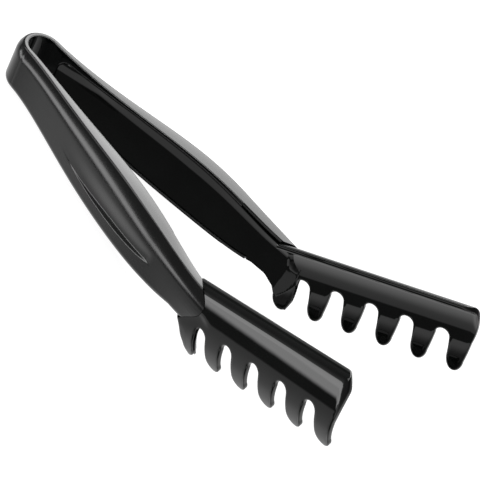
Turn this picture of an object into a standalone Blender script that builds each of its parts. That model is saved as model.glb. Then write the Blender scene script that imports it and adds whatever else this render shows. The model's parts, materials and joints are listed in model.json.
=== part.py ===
"""Pasta tongs of black moulded plastic: one sprung bend, two gripping arms and two comb jaws.

The tongs are modelled in the frame of their arms: X runs from the inside of the bend to the jaws, Y is the
way they open, with the near arm at -Y, and Z is up, with 0 at the upper rim of the bend. An empty then
stands them on their bend and their first teeth, with the origin under the middle of the whole object.
All sizes are in metres and all angles in degrees.
"""
import bmesh
import bpy
import numpy as np
from math import atan2, cos, degrees, pi, radians, sin, sqrt
from mathutils import Matrix, Vector

# Handle
BEND_RADIUS = 0.0086           # inner radius of the bend
ARM_REACH = 0.176              # from the inside of the bend to the end of the upper rim
ARM_SPREAD = 0.0315            # half of the opening between the arms at their ends
BEND_EASE = 0.0257             # how far past the bend the arms run almost parallel
RIM_RISE = 0.0049              # rise of the upper rim at the thickest place
RIM_EDGE = 0.0004              # chamfer where a side wall meets the inner face
BEND_HEIGHT = 0.0283           # height of the band at the bend
END_HEIGHT = 0.0233            # height of the band at the jaws
HEIGHT_SWELL = 0.0110          # what the swell adds to the height
BEND_WALL = 0.0051             # thickness of the band at the bend
END_WALL = 0.0065              # thickness of the band at the jaws
WALL_SWELL = 0.0059            # what the swell adds to the thickness
SHOULDER = 0.0040              # rounding of the outer long edges
GRIP_WALL = 0.0020             # thickness of the soft grip
FLEX_GAP = 0.0005              # gap where an arm flexes against the bend

# End of the grip, as distances past the end of the rim
GRIP_LAP = 0.0120              # how far the outer wall laps the jaw
GRIP_LAP_TOP = 0.0010          # how far the upper wall goes
GRIP_LAP_LOW = 0.0060          # how far the lower corner goes
GRIP_LAP_START = 0.0300        # length of arm over which the end is drawn out
LAP_ROUND_TOP = 0.0070         # depth over which the end line comes forward
LAP_ROUND_LOW = 0.0110         # height over which it goes back
FLOOR_END = 0.0180             # the lower wall stops this far short of the rim's end
FLOOR_RUNOUT = 0.0040          # length over which it stops

# Finger rest in the outer face
REST_START = 0.058
REST_END = 0.150
REST_DEPTH = 0.0010
REST_UPPER = 0.22              # share of the height where the rest begins
REST_LOWER = 0.74              # share of the height where it ends, in a steeper step
REST_STEP = 0.08               # share of the height that the step takes
REST_FLAT = 0.02               # share of the height that is flat above the step

# Jaw
TANG_START = 0.0165            # rounded end of the tang, measured from the inside of the bend
TANG_CORNER = 0.0070
TANG_THICKNESS = 0.0020
TANG_SLOT = 0.0004             # visible slot round the tang
ROOT_LENGTH = 0.0280           # length of the thick root inside the grip
ROOT_FLARE = 0.0075            # length over which the root comes down to its lower edge
ROOT_DROP = 0.0290             # depth of the root's lower edge under the rim
PEG_RADIUS = 0.0025
PEG_LENGTH = 0.0035
PEG_PLACES = (0.080, 0.130)
TURN_START = 0.0084            # the root turns into the comb between these distances past the rim's end
TURN_END = 0.0184
ROOT_RISE = 0.0150             # depth of the root's lower edge where it ends in the comb
ROOT_OVERLAP = 0.35            # share of the plate, each way from its middle, that the root fills
ROOT_REACH = 0.90              # share of the comb's height up to which the root follows it
HEAD_TILT = 25.5               # upward tilt of the comb against the arm
HEAD_SET = (0.00235, -0.0431, 0.0018)   # first tooth tip from the rim's end: along, up and outward
PLATE = 0.0030                 # thickness of the comb
HOOK_ANGLE = 30.0              # inward lean of the tooth tips
HOOK_RADIUS = 0.0275
CROWN_ANGLE = 19.0             # inward lean at the top of the comb's back
CROWN_RADIUS = 0.0680
CURL_ANGLE = 95.0              # lean at the edge of the upper lip
CURL_RADIUS = 0.0060
TIP_OUT = 0.0022               # middle of the plate at the tips, outward from the measured tip line
END_ROLL = 0.0080              # radius that rolls the free end inward
END_ROLL_LENGTH = 0.0060
TOOTH_COUNT = 6
TOOTH_PITCH = 0.0208
TOOTH_BACK = 0.0070            # back edge behind the tip mark
TOOTH_FRONT = 0.0026           # front edge ahead of it, at the tip
TOOTH_LEAN = 0.0029            # how much further forward the front edge is at the root
TIP_LOW = -0.0015              # place of the lowest point
TIP_BACK_RISE = 0.0070         # height of the rounding behind and ahead of it
TIP_FRONT_RISE = 0.0050
GAP_TOP = 0.0204
FIRST_BACK = 0.0086            # back edge of the first tooth
WEB_START = (-0.0240, 0.0215)  # where the first tooth's web leaves the arm
WEB_BEND = (-0.0105, 0.0170)
END_BEND = (0.0086, 0.0245)
END_TOP = (0.0097, 0.0339)
END_CORNER = 0.0075

# Fits
FIT = 0.0003                   # clearance between two mouldings

# Facets
BEND_STEPS = 14
ARM_STEP = 0.0075
ROUND_STEPS = 5
FACE_ROWS = (0.12, 0.28, 0.44, 0.58, 0.66, 0.71, 0.76, 0.88)
PEG_SIDES = 24
ROOT_ROWS = 6
TANG_END_STEPS = 7
HOOK_CUTS = 4
CROWN_CUTS = 3
CURL_CUTS = 7
END_ROLL_CUTS = 3
LAP_ROWS = 12
SHARP_ANGLE = 30.0
CUT_MERGE = 1e-7

# Finishes
SOFT_BLACK = (0.030, 0.032, 0.032, 1.0)
GLOSS_BLACK = (0.006, 0.007, 0.007, 1.0)
JAW_BLACK = (0.008, 0.009, 0.008, 1.0)
SOFT_ROUGHNESS = 0.55
CORE_ROUGHNESS = 0.12
JAW_ROUGHNESS = 0.08


def clear_scene():
    for old in list(bpy.data.objects):
        bpy.data.objects.remove(old, do_unlink=True)


def material(name, colour, roughness):
    made = bpy.data.materials.new(name)
    made.use_nodes = True
    shader = made.node_tree.nodes["Principled BSDF"]
    shader.inputs["Base Color"].default_value = colour
    shader.inputs["Roughness"].default_value = roughness
    shader.inputs["Metallic"].default_value = 0.0
    return made


def smooth(value, low, high):
    """0 below low, 1 above high and a smooth step between."""
    share = min(max((value - low) / (high - low), 0.0), 1.0)
    return share * share * (3.0 - 2.0 * share)


def swell(x):
    """1 at two thirds of the arm's length, 0 at both of its ends."""
    u = min(max(x / ARM_REACH, 0.0), 1.0)
    return 6.75 * u * u * (1.0 - u)


def height(x):
    u = min(max(x / ARM_REACH, 0.0), 1.0)
    return BEND_HEIGHT + (END_HEIGHT - BEND_HEIGHT) * u + HEIGHT_SWELL * swell(x)


def wall(x):
    u = min(max(x / ARM_REACH, 0.0), 1.0)
    return BEND_WALL + (END_WALL - BEND_WALL) * u + WALL_SWELL * swell(x)


def rim(x):
    u = min(max(x / ARM_REACH, 0.0), 1.0)
    return RIM_RISE * (1.5 * u) ** 4 * (3.0 * (1.0 - u)) ** 2


def bend_place(angle):
    """Inner rim point and outward direction on the bend, by the angle from its middle."""
    point = Vector((BEND_RADIUS * (1.0 - cos(angle)), BEND_RADIUS * sin(angle), 0.0))
    return point, Vector((-cos(angle), sin(angle), 0.0))


def arm_place(x):
    """Inner rim point and outward direction on the far arm: a curve that eases out of the bend."""
    start = np.array((BEND_RADIUS, BEND_RADIUS))
    ease = np.array((BEND_RADIUS + BEND_EASE, BEND_RADIUS))
    end = np.array((ARM_REACH, ARM_SPREAD))
    if x >= ARM_REACH:
        run = (end - ease) / np.linalg.norm(end - ease)
        spot = end + run * (x - ARM_REACH) / run[0]
    else:
        a = start[0] - 2.0 * ease[0] + end[0]
        b = 2.0 * (ease[0] - start[0])
        c = start[0] - x
        t = (-b + sqrt(b * b - 4.0 * a * c)) / (2.0 * a)
        spot = (1 - t) ** 2 * start + 2 * t * (1 - t) * ease + t * t * end
        run = (1 - t) * (ease - start) + t * (end - ease)
        run = run / np.linalg.norm(run)
    return Vector((x, spot[1], 0.0)), Vector((-run[1], run[0], 0.0))


def arm_point(x, out, up):
    """Point of the far arm: out from its inner face, up from its rim."""
    place, away = arm_place(x)
    return place + away * out + Vector((0.0, 0.0, rim(x) + up))


def splay():
    return atan2(ARM_SPREAD - BEND_RADIUS, ARM_REACH - BEND_RADIUS - BEND_EASE)


def head_axes():
    """Origin and directions of the far comb: along, up and outward."""
    tilt = radians(HEAD_TILT)
    turn = splay()
    along = Vector((cos(tilt) * cos(turn), sin(turn), sin(tilt) * cos(turn)))
    up = Vector((-sin(tilt), 0.0, cos(tilt)))
    outward = up.cross(along)
    start = arm_point(ARM_REACH, 0.0, 0.0)
    start = start + along * HEAD_SET[0] + up * HEAD_SET[1] + outward * HEAD_SET[2]
    return start, along, up, outward


def stations(start, end, step):
    count = max(2, int(round((end - start) / step)) + 1)
    return [start + (end - start) * k / (count - 1) for k in range(count)]


def mirrored(points, side):
    return [Vector((p.x, p.y * side, p.z)) for p in points]


def lofted(name, rings):
    """A closed solid through rings of points.

    A ring runs along one side of its section and comes back along the other with as many points, so
    that each end can be closed with strips across the section, flat or not.
    """
    mesh = bmesh.new()
    loops = [[mesh.verts.new(p) for p in ring] for ring in rings]
    count = len(loops[0])
    for one, two in zip(loops, loops[1:]):
        for k in range(count):
            n = (k + 1) % count
            mesh.faces.new((one[k], one[n], two[n], two[k]))
    for loop in (loops[0][::-1], loops[-1]):
        for k in range(count // 2 - 1):
            mesh.faces.new((loop[k], loop[k + 1], loop[count - 2 - k], loop[count - 1 - k]))
    clean(mesh)
    return finished(name, mesh)


def clean(mesh):
    """Merge doubled points, drop flat slivers and leave triangles that face out."""
    bmesh.ops.remove_doubles(mesh, verts=mesh.verts, dist=1e-6)
    bmesh.ops.dissolve_degenerate(mesh, edges=mesh.edges, dist=2e-6)
    bmesh.ops.triangulate(mesh, faces=mesh.faces)
    mesh.normal_update()
    bmesh.ops.recalc_face_normals(mesh, faces=mesh.faces)


def finished(name, mesh):
    data = bpy.data.meshes.new(name)
    mesh.to_mesh(data)
    mesh.free()
    made = bpy.data.objects.new(name, data)
    bpy.context.scene.collection.objects.link(made)
    return made


def combine(base, other, operation):
    """Join another solid to a solid, or cut it away, and drop the other."""
    modifier = base.modifiers.new(operation.lower(), "BOOLEAN")
    modifier.operation = operation
    modifier.solver = "EXACT"
    modifier.object = other
    bpy.context.view_layer.update()
    graph = bpy.context.evaluated_depsgraph_get()
    data = bpy.data.meshes.new_from_object(base.evaluated_get(graph))
    base.modifiers.clear()
    base.data = data
    bpy.data.objects.remove(other, do_unlink=True)


def tidy_mesh(piece):
    mesh = bmesh.new()
    mesh.from_mesh(piece.data)
    clean(mesh)
    mesh.to_mesh(piece.data)
    mesh.free()


def rest_depth(x, share):
    """Depth of the finger rest: it fades in from above and ends below in a short step."""
    along = (x - REST_START) / (REST_END - REST_START)
    if along <= 0.0 or along >= 1.0:
        return 0.0
    oval = sqrt(1.0 - (2.0 * along - 1.0) ** 2)
    middle = 0.5 * (REST_UPPER + REST_LOWER)
    low = middle + (REST_LOWER - middle) * oval
    step = low - REST_STEP
    fade = smooth(share, REST_UPPER, step - REST_FLAT) * (1.0 - smooth(share, step, low))
    return REST_DEPTH * oval * fade


def rounded(centre, radius, start, end, steps):
    """Points on an arc in the section, as out and up values."""
    points = []
    for k in range(steps + 1):
        angle = radians(start + (end - start) * k / steps)
        points.append((centre[0] + radius * cos(angle), centre[1] + radius * sin(angle)))
    return points


def grip_section(x, floor_share):
    """Outline of the soft grip: a channel that is open at the inner face.

    floor_share is 1 where the lower wall is whole and 0 where it has run out.
    """
    thick = wall(x)
    deep = height(x)
    inside = thick - GRIP_WALL
    floor = inside * (1.0 - floor_share)
    low_round = min(SHOULDER, thick - floor - RIM_EDGE)
    points = [(0.0, -RIM_EDGE), (RIM_EDGE, 0.0)]
    points += rounded((thick - SHOULDER, -SHOULDER), SHOULDER, 90, 0, ROUND_STEPS)
    for share in FACE_ROWS:
        up = -SHOULDER - (deep - SHOULDER - low_round) * share
        points.append((thick - rest_depth(x, -up / deep), up))
    points += rounded((thick - low_round, low_round - deep), low_round, 0, -90, ROUND_STEPS)
    points += [(floor + RIM_EDGE * floor_share, -deep), (floor, -deep + RIM_EDGE)]
    back = [(min(out, inside), min(max(up, GRIP_WALL - deep), -GRIP_WALL)) for out, up in points]
    return points + back[::-1]


def lap(x, up):
    """How far the end of the grip is drawn out at a place of the arm."""
    share = smooth(x, ARM_REACH - GRIP_LAP_START, ARM_REACH)
    deep = height(ARM_REACH)
    top = smooth(-up, GRIP_WALL, GRIP_WALL + LAP_ROUND_TOP)
    low = smooth(-up, deep - LAP_ROUND_LOW, deep)
    end = GRIP_LAP_TOP + (GRIP_LAP - GRIP_LAP_TOP) * top - (GRIP_LAP - GRIP_LAP_LOW) * low
    return share * end


def grip_ring(x, side):
    run_out = smooth(x, ARM_REACH - FLOOR_END - FLOOR_RUNOUT, ARM_REACH - FLOOR_END)
    points = []
    for out, up in grip_section(x, 1.0 - run_out):
        place, away = arm_place(x + lap(x, up))
        points.append(place + away * out + Vector((0.0, 0.0, rim(x) + up)))
    return mirrored(points, side)


def arm_grip(name, side):
    start = BEND_RADIUS + 0.5 * FLEX_GAP
    floor_stop = ARM_REACH - FLOOR_END
    places = stations(start, floor_stop - FLOOR_RUNOUT, ARM_STEP)
    places += stations(floor_stop, ARM_REACH, 0.5 * ARM_STEP)
    return lofted(name, [grip_ring(x, side) for x in places])


def band_ring(angle, section):
    place, away = bend_place(angle)
    return [place + away * out + Vector((0.0, 0.0, up)) for out, up in section]


def bend_band(name, section):
    """A solid of one section swept round the bend."""
    reach = pi / 2.0 - 0.5 * FLEX_GAP / BEND_RADIUS
    angles = [-reach + 2.0 * reach * k / BEND_STEPS for k in range(BEND_STEPS + 1)]
    return lofted(name, [band_ring(angle, section) for angle in angles])


def core_section(x):
    """Outline of the stiff core inside the channel of the grip."""
    outer = wall(x) - GRIP_WALL - FIT
    top = -GRIP_WALL - FIT
    low = -height(x) + GRIP_WALL + FIT
    return [(0.0, top), (0.0, low), (outer, low), (outer, top)]


def tang_margin(x, start, corner):
    """How much the rounded end takes off the tang's upper and lower edge at a place."""
    into = min(max(start + corner - x, 0.0), corner)
    return corner - sqrt(corner * corner - into * into)


def tang_stations(start, corner):
    """Places along the tang's rounded end, closer together at its tip."""
    shares = [k / TANG_END_STEPS for k in range(TANG_END_STEPS + 1)]
    return [start + corner * (1.0 - cos(0.5 * pi * share)) for share in shares]


def pocket_cutter(side):
    """Room for the tang and its slot in the core."""
    start = TANG_START - TANG_SLOT
    corner = TANG_CORNER + TANG_SLOT
    places = tang_stations(start, corner)
    places += stations(places[-1] + ARM_STEP, ARM_REACH, ARM_STEP)
    rings = []
    for x in places:
        edge = GRIP_WALL + tang_margin(x, start, corner)
        out = TANG_THICKNESS + FIT
        section = [(-out, -edge), (-out, edge - height(x)), (out, edge - height(x)), (out, -edge)]
        rings.append(mirrored([arm_point(x, o, u) for o, u in section], side))
    return lofted("pocket", rings)


def peg(x, extra, side):
    """A locating peg on the back of the tang; extra is the clearance of its hole."""
    away = arm_place(x)[1]
    start = 0.5 * TANG_THICKNESS
    length = TANG_THICKNESS + PEG_LENGTH + extra - start
    mesh = bmesh.new()
    radius = PEG_RADIUS + extra
    bmesh.ops.create_cone(
        mesh, cap_ends=True, segments=PEG_SIDES, radius1=radius, radius2=radius, depth=length)
    turn = away.to_track_quat("Z", "Y").to_matrix().to_4x4()
    middle = Matrix.Translation(arm_point(x, start + 0.5 * length, -0.5 * height(x)))
    bmesh.ops.transform(mesh, matrix=middle @ turn, verts=mesh.verts)
    for vert in mesh.verts:
        vert.co.y *= side
    clean(mesh)
    return finished("peg", mesh)


def arm_core(name, side):
    start = BEND_RADIUS + 0.5 * FLEX_GAP
    end = ARM_REACH - ROOT_LENGTH - FIT
    rings = []
    for x in stations(start, end, ARM_STEP):
        rings.append(mirrored([arm_point(x, out, up) for out, up in core_section(x)], side))
    core = lofted(name, rings)
    combine(core, pocket_cutter(side), "DIFFERENCE")
    for x in PEG_PLACES:
        combine(core, peg(x, FIT, side), "DIFFERENCE")
    tidy_mesh(core)
    return core


def comb_section(s):
    """Middle of the comb's plate by the length s from the tips: outward, up and lean angle."""
    hook = HOOK_RADIUS * radians(HOOK_ANGLE)
    crown = CROWN_RADIUS * radians(CROWN_ANGLE)
    out = TIP_OUT
    up = 0.0
    lean = radians(HOOK_ANGLE) - min(s, hook) / HOOK_RADIUS
    out += HOOK_RADIUS * (cos(lean) - cos(radians(HOOK_ANGLE)))
    up += HOOK_RADIUS * (sin(radians(HOOK_ANGLE)) - sin(lean))
    if s < 0.0:
        return TIP_OUT + s * sin(radians(HOOK_ANGLE)), s * cos(radians(HOOK_ANGLE)), radians(HOOK_ANGLE)
    if s > hook:
        lean = -min(s - hook, crown) / CROWN_RADIUS
        out -= CROWN_RADIUS * (1.0 - cos(lean))
        up -= CROWN_RADIUS * sin(lean)
    if s > hook + crown:
        start = radians(CROWN_ANGLE)
        curl = start + (s - hook - crown) / CURL_RADIUS
        out -= CURL_RADIUS * (cos(start) - cos(curl))
        up += CURL_RADIUS * (sin(curl) - sin(start))
        lean = -curl
    return out, up, lean


def comb_length():
    curl = CURL_RADIUS * radians(CURL_ANGLE - CROWN_ANGLE)
    return HOOK_RADIUS * radians(HOOK_ANGLE) + CROWN_RADIUS * radians(CROWN_ANGLE) + curl


def length_at(up):
    """Length from the tips where the plate's middle reaches a height."""
    samples = np.linspace(0.0, comb_length() - CURL_RADIUS * radians(CURL_ANGLE - 90.0), 300)
    heights = [comb_section(s)[1] for s in samples]
    return float(np.interp(up, heights, samples))


def out_at(up):
    return comb_section(length_at(up))[0]


def ellipse(centre, wide, tall, start, end, steps):
    points = []
    for k in range(steps + 1):
        angle = radians(start + (end - start) * k / steps)
        points.append((centre[0] + wide * cos(angle), centre[1] + tall * sin(angle)))
    return points


def curve(start, bend, end, steps):
    points = []
    for k in range(steps + 1):
        t = k / steps
        shares = ((1 - t) ** 2, 2 * t * (1 - t), t * t)
        points.append(tuple(sum(n * p[i] for n, p in zip(shares, (start, bend, end))) for i in (0, 1)))
    return points


def comb_outline():
    """Outline of the flat comb: along the jaw, and up from the tips."""
    points = []
    gap_round = 0.5 * (TOOTH_PITCH - TOOTH_BACK - TOOTH_FRONT - TOOTH_LEAN)
    for k in range(TOOTH_COUNT):
        tip = k * TOOTH_PITCH
        back = FIRST_BACK if k == 0 else TOOTH_BACK
        if k == 0:
            points += curve(WEB_START, WEB_BEND, (-back, TIP_BACK_RISE), 6)[:-1]
        low = (tip + TIP_LOW, TIP_BACK_RISE)
        points += ellipse(low, back + TIP_LOW, TIP_BACK_RISE, 180, 270, 5)
        low = (tip + TIP_LOW, TIP_FRONT_RISE)
        points += ellipse(low, TOOTH_FRONT - TIP_LOW, TIP_FRONT_RISE, 270, 360, 4)[1:]
        if k < TOOTH_COUNT - 1:
            centre = (tip + TOOTH_PITCH - TOOTH_BACK - gap_round, GAP_TOP - gap_round)
            points += ellipse(centre, gap_round, gap_round, 180, 0, 8)
    last = (TOOTH_COUNT - 1) * TOOTH_PITCH
    root = (last + TOOTH_FRONT + TOOTH_LEAN, GAP_TOP - gap_round)
    points += curve(root, (last + END_BEND[0], END_BEND[1]), (last + END_TOP[0], END_TOP[1]), 4)
    flat = [(along, length_at(up)) for along, up in points]
    corner_start = length_at(END_TOP[1])
    tall = comb_length() - corner_start
    flat += ellipse((last + END_TOP[0] - END_CORNER, corner_start), END_CORNER, tall, 0, 90, 6)[1:]
    corner = HEAD_SET[0]
    flat += [(-corner, comb_length()), (-corner, length_at(-HEAD_SET[1] - GRIP_WALL - PLATE))]
    flat.append((0.5 * WEB_START[0], length_at(WEB_START[1] + PLATE)))
    return flat


def slit(mesh, point, normal):
    """Divide the faces of a mesh along a plane, so that it can bend there."""
    geometry = mesh.verts[:] + mesh.edges[:] + mesh.faces[:]
    bmesh.ops.bisect_plane(mesh, geom=geometry, dist=CUT_MERGE, plane_co=point, plane_no=normal)


def comb_plate(side):
    """The comb as a flat sheet, thickened and then bent to its section."""
    mesh = bmesh.new()
    face = mesh.faces.new([mesh.verts.new((along, s, 0.0)) for along, s in comb_outline()])
    face.normal_update()
    bmesh.ops.triangulate(mesh, faces=[face])
    total = comb_length()
    hook = HOOK_RADIUS * radians(HOOK_ANGLE)
    crown = hook + CROWN_RADIUS * radians(CROWN_ANGLE)
    for k in range(HOOK_CUTS):
        slit(mesh, (0.0, hook * (k + 1) / HOOK_CUTS, 0.0), (0.0, 1.0, 0.0))
    for k in range(CROWN_CUTS):
        slit(mesh, (0.0, hook + (crown - hook) * (k + 1) / CROWN_CUTS, 0.0), (0.0, 1.0, 0.0))
    for k in range(1, CURL_CUTS):
        slit(mesh, (0.0, crown + (total - crown) * k / CURL_CUTS, 0.0), (0.0, 1.0, 0.0))
    free_end = (TOOTH_COUNT - 1) * TOOTH_PITCH + END_TOP[0]
    for k in range(END_ROLL_CUTS):
        slit(mesh, (free_end - END_ROLL_LENGTH * (1.0 - k / END_ROLL_CUTS), 0.0, 0.0), (1.0, 0.0, 0.0))
    raised = bmesh.ops.extrude_face_region(mesh, geom=mesh.faces[:])["geom"]
    top = [v for v in raised if isinstance(v, bmesh.types.BMVert)]
    for vert in mesh.verts:
        vert.co.z = -0.5 * PLATE
    for vert in top:
        vert.co.z = 0.5 * PLATE
    start, along_axis, up_axis, out_axis = head_axes()
    for vert in mesh.verts:
        along, s, thick = vert.co
        out, up, lean = comb_section(s)
        into = max(0.0, along - free_end + END_ROLL_LENGTH)
        out += thick * cos(lean) - (END_ROLL - sqrt(END_ROLL ** 2 - into ** 2))
        up -= thick * sin(lean)
        spot = start + along_axis * along + up_axis * up + out_axis * out
        vert.co = (spot.x, spot.y * side, spot.z)
    clean(mesh)
    return finished("comb", mesh)


def flare_start():
    """Where the root leaves the grip's channel, just past the end of the grip's lower wall."""
    floor_stop = ARM_REACH - FLOOR_END
    return floor_stop + lap(floor_stop, -height(floor_stop)) + FIT


def root_limits(x):
    """Upper and lower edge of the tang and root at a place, up from the rim line at zero."""
    edge = GRIP_WALL + TANG_SLOT + tang_margin(x, TANG_START, TANG_CORNER)
    top = rim(x) - edge
    low = rim(x) - height(x) + edge
    drop = smooth(x, flare_start(), flare_start() + ROOT_FLARE)
    low = low + (-ROOT_DROP - low) * drop
    rise = smooth(x, ARM_REACH, ARM_REACH + TURN_END)
    return top, low + (ROOT_DROP - ROOT_RISE) * rise


def body_ring(x, thick_share, side):
    """Ring of the tang and root: flat to the arm, then turning into the comb's plate."""
    start, _, up_axis, _ = head_axes()
    place, away = arm_place(x)
    top, low = root_limits(x)
    blend = smooth(x, ARM_REACH + TURN_START, ARM_REACH + TURN_END)
    full = wall(x) if x > flare_start() else wall(x) - GRIP_WALL - FIT
    thick = TANG_THICKNESS + (full - TANG_THICKNESS) * thick_share
    inner = []
    outer = []
    for k in range(ROOT_ROWS):
        up = top + (low - top) * k / (ROOT_ROWS - 1)
        base = place + Vector((0.0, 0.0, up))
        high = min((base - start).dot(up_axis), -ROOT_REACH * HEAD_SET[1])
        comb_out = out_at(high) + HEAD_SET[2]
        inside = blend * (comb_out - ROOT_OVERLAP * PLATE)
        outside = (1.0 - blend) * thick + blend * (comb_out + ROOT_OVERLAP * PLATE)
        inner.append(base + away * inside)
        outer.append(base + away * outside)
    return mirrored(inner + outer[::-1], side)


def jaw_body(side):
    """The tang along the arm and the thick root that carries the comb."""
    root = ARM_REACH - ROOT_LENGTH
    ends = tang_stations(TANG_START, TANG_CORNER)
    rings = [body_ring(x, 0.0, side) for x in ends + stations(ends[-1] + ARM_STEP, root, ARM_STEP)]
    places = stations(root + FIT, flare_start() - FIT, ARM_STEP)
    places += stations(flare_start() + FIT, ARM_REACH + TURN_END, 0.5 * ARM_STEP)
    rings += [body_ring(x, 1.0, side) for x in places]
    return lofted("body", rings)


def lap_cutter(side, upper):
    """The space that an end of the grip's outer wall, or of its upper wall, takes from the jaw."""
    far = 4.0 * SHOULDER
    top = -GRIP_WALL - FIT
    rings = []
    for x in stations(ARM_REACH - ROOT_LENGTH - ARM_STEP, ARM_REACH, 0.5 * ARM_STEP):
        inside = wall(x) - GRIP_WALL - FIT
        low = -height(x) - FIT
        near = -far if upper else inside
        rows = [top]
        if not upper:
            rows = [low + (top - low) * k / LAP_ROWS for k in range(LAP_ROWS + 1)]
        rows += [top + (far - top) * k / 3 for k in range(1, 4)]
        ring = []
        for out, up in [(near, up) for up in rows] + [(inside + far, up) for up in rows[::-1]]:
            ahead = lap(x, up) + FIT * smooth(x, ARM_REACH - GRIP_LAP_START, ARM_REACH)
            place, away = arm_place(x + ahead)
            ring.append(place + away * out + Vector((0.0, 0.0, rim(x) + up)))
        rings.append(mirrored(ring, side))
    return lofted("lap", rings)


def jaw(name, side):
    made = jaw_body(side)
    made.name = name
    combine(made, comb_plate(side), "UNION")
    for x in PEG_PLACES:
        combine(made, peg(x, 0.0, side), "UNION")
    combine(made, lap_cutter(side, False), "DIFFERENCE")
    combine(made, lap_cutter(side, True), "DIFFERENCE")
    tidy_mesh(made)
    return made


def flex_axis(side):
    """Middle of the gap where an arm flexes: the axis runs up through this point."""
    return Vector((BEND_RADIUS, side * (BEND_RADIUS + 0.5 * wall(BEND_RADIUS)), -0.5 * BEND_HEIGHT))


def empty(name, place, parent):
    made = bpy.data.objects.new(name, None)
    made.empty_display_size = 0.01
    bpy.context.scene.collection.objects.link(made)
    made.parent = parent
    made.location = place
    return made


def hang(piece, parent, origin, finish):
    """Put a piece's origin on its parent and give it its finish."""
    piece.data.transform(Matrix.Translation(-origin))
    piece.parent = parent
    piece.data.materials.clear()
    piece.data.materials.append(finish)
    piece.data.shade_smooth()
    piece.data.set_sharp_from_angle(angle=radians(SHARP_ANGLE))


def stand(stance, pieces):
    """Stand the tongs on the bend and the first teeth, with the origin under their middle."""
    bpy.context.view_layer.update()
    points = np.array([piece.matrix_world @ v.co for piece in pieces for v in piece.data.vertices])
    left = points[points[:, 0] < BEND_RADIUS]
    right = points[points[:, 0] > ARM_REACH - ROOT_LENGTH]
    tilt = 0.0
    for _ in range(8):
        fall = np.array((sin(tilt), 0.0, cos(tilt)))
        heel = left[np.argmin(left @ fall)]
        toe = right[np.argmin(right @ fall)]
        tilt = atan2(heel[2] - toe[2], toe[0] - heel[0])
    stance.rotation_euler = (0.0, -tilt, 0.0)
    turn = np.array(Matrix.Rotation(-tilt, 3, "Y"))
    stood = points @ turn.T
    low = stood.min(axis=0)
    high = stood.max(axis=0)
    stance.location = (-0.5 * (low[0] + high[0]), -0.5 * (low[1] + high[1]), -low[2])
    bpy.context.view_layer.update()


def main():
    clear_scene()
    soft = material("soft_grip", SOFT_BLACK, SOFT_ROUGHNESS)
    gloss = material("core_gloss", GLOSS_BLACK, CORE_ROUGHNESS)
    comb = material("jaw_gloss", JAW_BLACK, JAW_ROUGHNESS)
    stance = empty("stance", Vector((0.0, 0.0, 0.0)), None)
    origin = Vector((0.0, 0.0, 0.0))
    bend_grip = bend_band("bend_grip", grip_section(0.0, 1.0))
    hang(bend_grip, stance, origin, soft)
    bend_core = bend_band("bend_core", core_section(0.0))
    hang(bend_core, stance, origin, gloss)
    pieces = [bend_grip, bend_core]
    for word, side in (("near", -1.0), ("far", 1.0)):
        axis = flex_axis(side)
        hinge = empty(word + "_squeeze", axis, stance)
        for piece, finish in ((arm_grip(word + "_grip", side), soft),
                              (arm_core(word + "_arm_core", side), gloss),
                              (jaw(word + "_jaw", side), comb)):
            hang(piece, hinge, axis, finish)
            pieces.append(piece)
    stand(stance, pieces)
    for word in ("near", "far"):
        hinge = bpy.data.objects[word + "_squeeze"]
        place = hinge.matrix_world.translation
        upward = hinge.matrix_world.to_3x3() @ Vector((0.0, 0.0, 1.0))
        print(hinge.name, [round(c, 6) for c in place], [round(c, 6) for c in upward])
    tilt = degrees(stance.rotation_euler[1])
    print("tilt", round(tilt, 4), "offset", [round(c, 6) for c in stance.location])


main()
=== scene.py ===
"""Pasta tongs of black moulded plastic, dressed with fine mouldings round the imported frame.

The mouldings are worked out in the frame of the arms: X runs from the inside of the bend to the jaws, Y is
the way the tongs open and Z is up, with 0 at the upper rim of the bend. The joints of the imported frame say
how the arms stand in it. All sizes are in metres and all angles in degrees.
"""
import json
from math import atan2, cos, degrees, pi, radians, sin, sqrt, tan

import bmesh
import bpy
import numpy as np
from mathutils import Matrix, Vector
from mathutils.geometry import delaunay_2d_cdt


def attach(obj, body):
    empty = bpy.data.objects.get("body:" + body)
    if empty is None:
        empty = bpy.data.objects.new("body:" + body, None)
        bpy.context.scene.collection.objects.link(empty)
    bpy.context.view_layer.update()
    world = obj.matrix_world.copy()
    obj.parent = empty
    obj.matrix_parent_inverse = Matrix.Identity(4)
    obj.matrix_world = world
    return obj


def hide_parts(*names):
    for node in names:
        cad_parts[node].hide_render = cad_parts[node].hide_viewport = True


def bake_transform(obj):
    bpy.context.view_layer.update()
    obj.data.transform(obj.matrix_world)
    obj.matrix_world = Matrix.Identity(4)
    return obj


# Handle, with the sizes of the solids
BEND_RADIUS = 0.0086
ARM_REACH = 0.176
ARM_SPREAD = 0.0315
BEND_EASE = 0.0257
RIM_RISE = 0.0049
BEND_HEIGHT = 0.0283
END_HEIGHT = 0.0233
HEIGHT_SWELL = 0.0110
BEND_WALL = 0.0051
END_WALL = 0.0065
WALL_SWELL = 0.0059
SWELL_SCALE = 6.75             # brings the swelling's peak, at two thirds of the arm, to 1
RIM_SCALES = (1.5, 3.0)        # bring the peak of the rim's rise, which is also there, to 1
SHOULDER = 0.0040              # rounding of the outer lower edge
FLANK = 0.0025                 # the outer side sets back by this much up to its top edge,
FLANK_SWELL = 0.0013           # more where the arm swells,
FLANK_DROP = 0.0075            # over this depth
FLANK_DROP_SWELL = 0.0045      # and more depth where it swells
FLANK_POWER = 2.25             # curve of the flank
FLANK_EDGE = 0.0015            # rounding between the flank and the top
GRIP_WALL = 0.0020
LOW_EDGE = 0.0263              # the lower edge stays this low at the end of the arm
GRIP_LAP_START = 0.0300        # the lap grows over this length of the arm
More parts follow.
